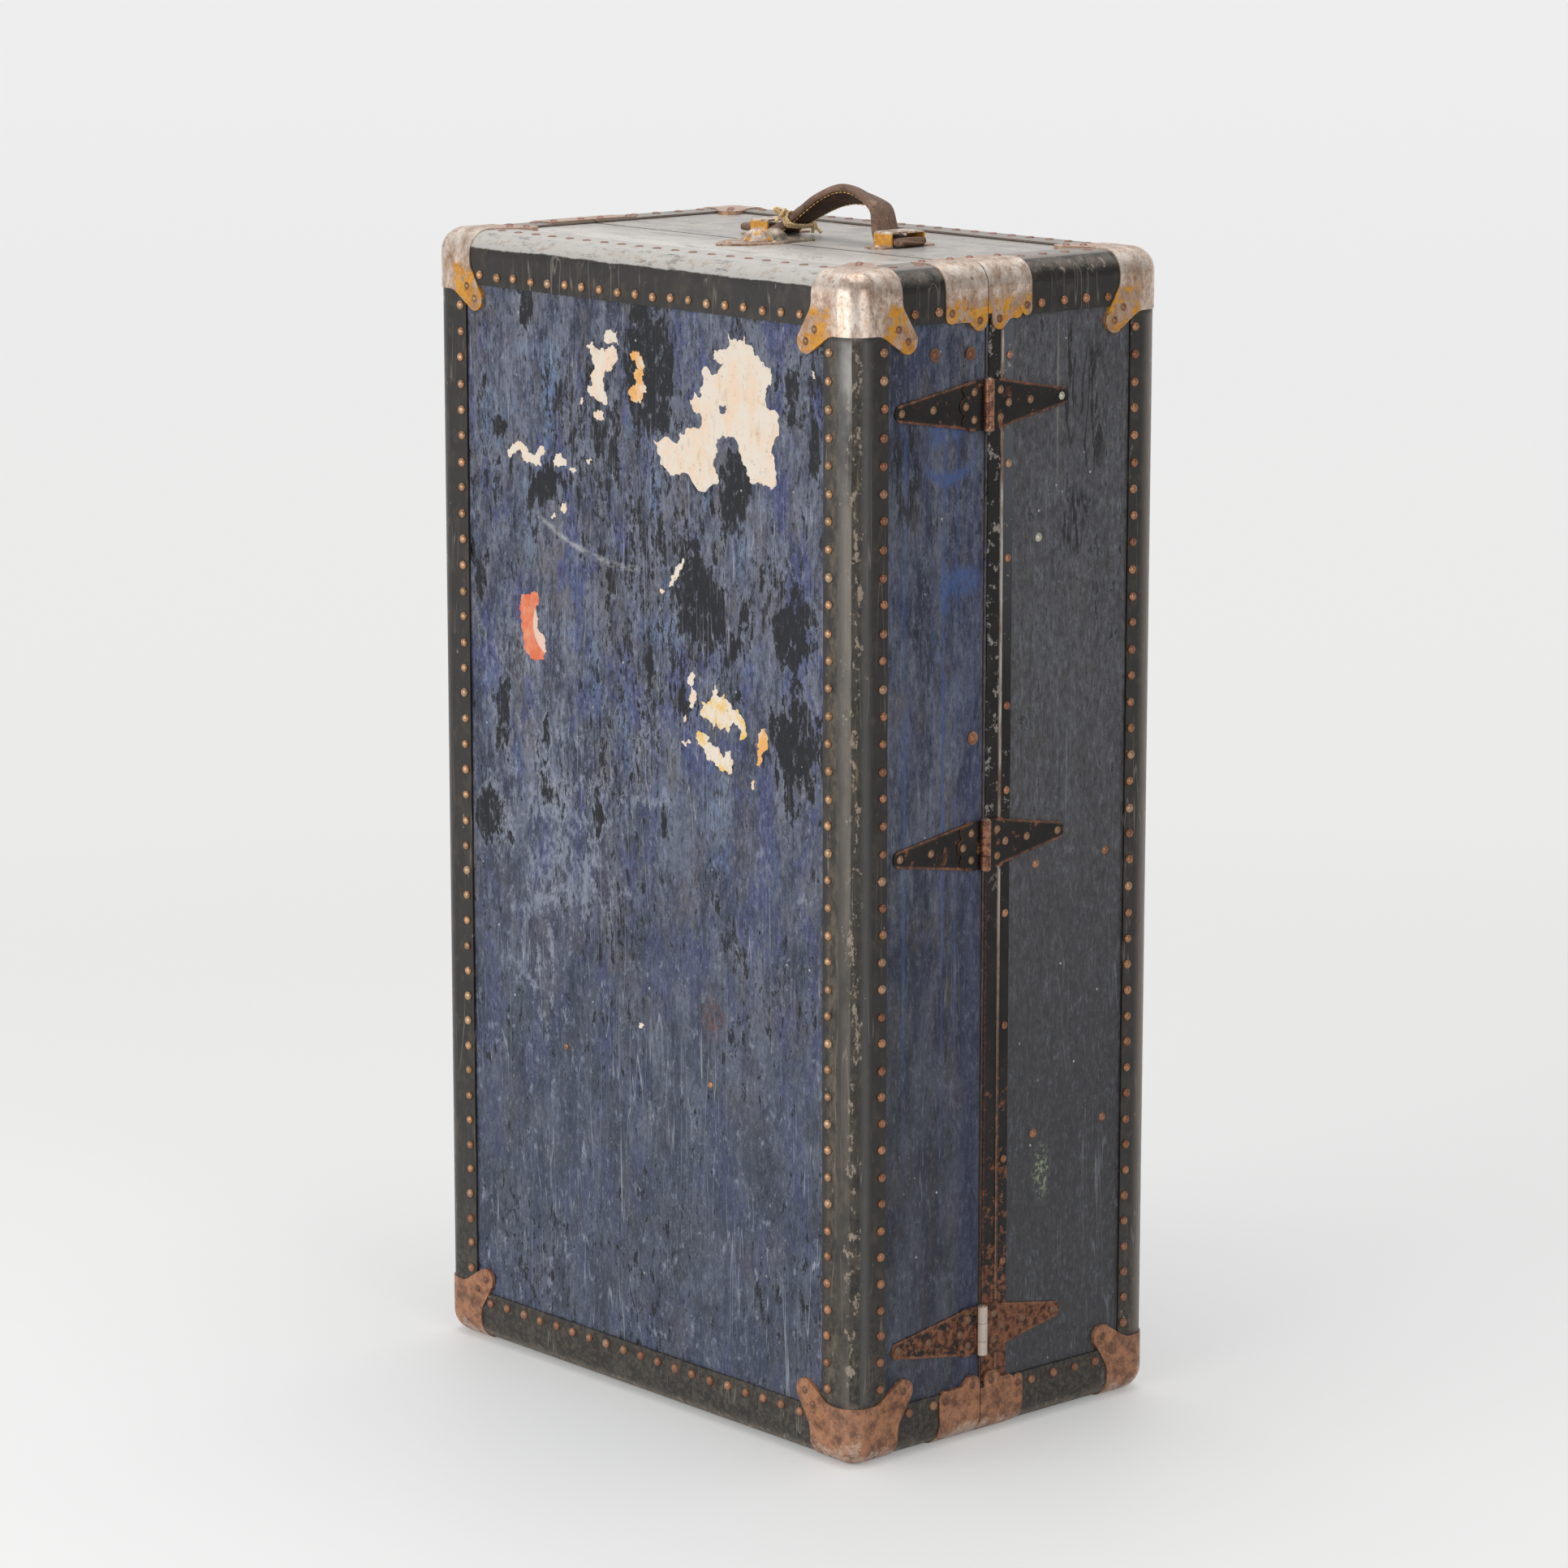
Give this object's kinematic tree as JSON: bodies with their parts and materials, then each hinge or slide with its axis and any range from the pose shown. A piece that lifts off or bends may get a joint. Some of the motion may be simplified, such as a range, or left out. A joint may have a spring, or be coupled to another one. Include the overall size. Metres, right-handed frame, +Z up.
{
  "type": "travel trunk",
  "caption": "Upright wardrobe trunk that opens like a book on side hinges, with drawers in one half, a sliding hanger rod in the other, hasps and a top carrying handle.",
  "frame": {"origin": "on the floor under the middle of the closed case", "axes": "+Z up; +X towards the hinge side; the front half, which swings open, is on the -Y side and the back half on the +Y side"},
  "size_m": [0.5762, 0.3618, 1.0637],
  "materials": {
    "plywood": "raw plywood, satin",
    "fibre": "vulcanised fibre, scuffed and worn",
    "binding": "black-brown vulcanised fibre, scuffed",
    "cap_steel": "pressed steel, plating worn brown and rusty",
    "rivet_brass": "copper-coloured plating, dull",
    "hinge_enamel": "black enamel, rusty at the edges",
    "pin_steel": "dull steel",
    "valance_wood": "stained wood strip",
    "plated_brass": "yellow plating, dull",
    "dowel_steel": "grey plating, worn",
    "strap_leather": "dark worn leather",
    "twine": "natural fibre cord",
    "shelf_wood": "plywood, satin",
    "drawer_wood": "plywood, satin",
    "knob_brass": "polished, dull",
    "rail_steel": "nickel plated",
    "hanger_wood": "varnished beech"
  },
  "bodies": {
    "far_half": {"far_face_panel": "plywood", "far_hinge_side_board": "plywood", "far_latch_side_board": "plywood", "far_top_board": "plywood", "far_bottom_board": "plywood", "far_fibre_covering": "fibre", "far_upright_bindings": "binding", "far_level_bindings": "binding", "far_end_bindings": "binding", "far_corner_caps": "cap_steel", "far_edge_clamps": "cap_steel", "far_cap_rivets": "rivet_brass", "far_hinge_straps": "hinge_enamel", "far_hinge_leaves": "hinge_enamel", "far_hinge_rivets": "rivet_brass", "hinge_edge_strip": "hinge_enamel", "valance_tongues": "valance_wood", "hinge_pins": "pin_steel", "handle_loops": "plated_brass", "handle_strap": "strap_leather", "handle_twine": "twine", "dowel_plug": "dowel_steel", "hasp_bases": "plated_brass", "hasp_pins": "pin_steel", "drawer_shelves": "shelf_wood"},
    "near_half": {"near_face_panel": "plywood", "near_hinge_side_board": "plywood", "near_latch_side_board": "plywood", "near_top_board": "plywood", "near_bottom_board": "plywood", "near_fibre_covering": "fibre", "near_upright_bindings": "binding", "near_level_bindings": "binding", "near_end_bindings": "binding", "near_corner_caps": "cap_steel", "near_edge_clamps": "cap_steel", "near_cap_rivets": "rivet_brass", "near_hinge_straps": "hinge_enamel", "near_hinge_leaves": "hinge_enamel", "near_hinge_rivets": "rivet_brass", "dowel_socket": "plated_brass", "lock_plate": "plated_brass", "hasp_staples": "plated_brass", "trolley_rail": "rail_steel"},
    "drawer_1": {"drawer_1": "drawer_wood", "drawer_knobs_1": "knob_brass"},
    "drawer_2": {"drawer_2": "drawer_wood", "drawer_knobs_2": "knob_brass"},
    "drawer_3": {"drawer_3": "drawer_wood", "drawer_knobs_3": "knob_brass"},
    "drawer_4": {"drawer_4": "drawer_wood", "drawer_knobs_4": "knob_brass"},
    "lock_hasp": {"lock_hasp": "plated_brass"},
    "upper_hasp": {"upper_hasp": "plated_brass"},
    "lower_hasp": {"lower_hasp": "plated_brass"},
    "hanger_trolley": {"hanger_trolley": "rail_steel", "coat_hangers": "hanger_wood", "hanger_hooks": "rail_steel"}
  },
  "joints": [
    {"name": "case_hinge", "type": "hinge", "parent": "far_half", "child": "near_half", "pos_m": [0.2797, -0.029, 0.508], "axis": [0, 0, 1], "range_deg": [0, 165]},
    {"name": "drawer_slide_1", "type": "slide", "parent": "far_half", "child": "drawer_1", "axis": [0, -1, 0], "range_m": [0, 0.105]},
    {"name": "drawer_slide_2", "type": "slide", "parent": "far_half", "child": "drawer_2", "axis": [0, -1, 0], "range_m": [0, 0.105]},
    {"name": "drawer_slide_3", "type": "slide", "parent": "far_half", "child": "drawer_3", "axis": [0, -1, 0], "range_m": [0, 0.105]},
    {"name": "drawer_slide_4", "type": "slide", "parent": "far_half", "child": "drawer_4", "axis": [0, -1, 0], "range_m": [0, 0.105]},
    {"name": "lock_hasp_hinge", "type": "hinge", "parent": "far_half", "child": "lock_hasp", "pos_m": [-0.2813, -0.003, 0.5082], "axis": [0, 0, 1], "range_deg": [0, 180]},
    {"name": "upper_hasp_hinge", "type": "hinge", "parent": "far_half", "child": "upper_hasp", "pos_m": [-0.2813, -0.003, 0.8382], "axis": [0, 0, 1], "range_deg": [0, 180]},
    {"name": "lower_hasp_hinge", "type": "hinge", "parent": "far_half", "child": "lower_hasp", "pos_m": [-0.2813, -0.003, 0.1782], "axis": [0, 0, 1], "range_deg": [0, 180]},
    {"name": "trolley_slide", "type": "slide", "parent": "near_half", "child": "hanger_trolley", "axis": [0, 1, 0], "range_m": [0, 0.1]}
  ]
}
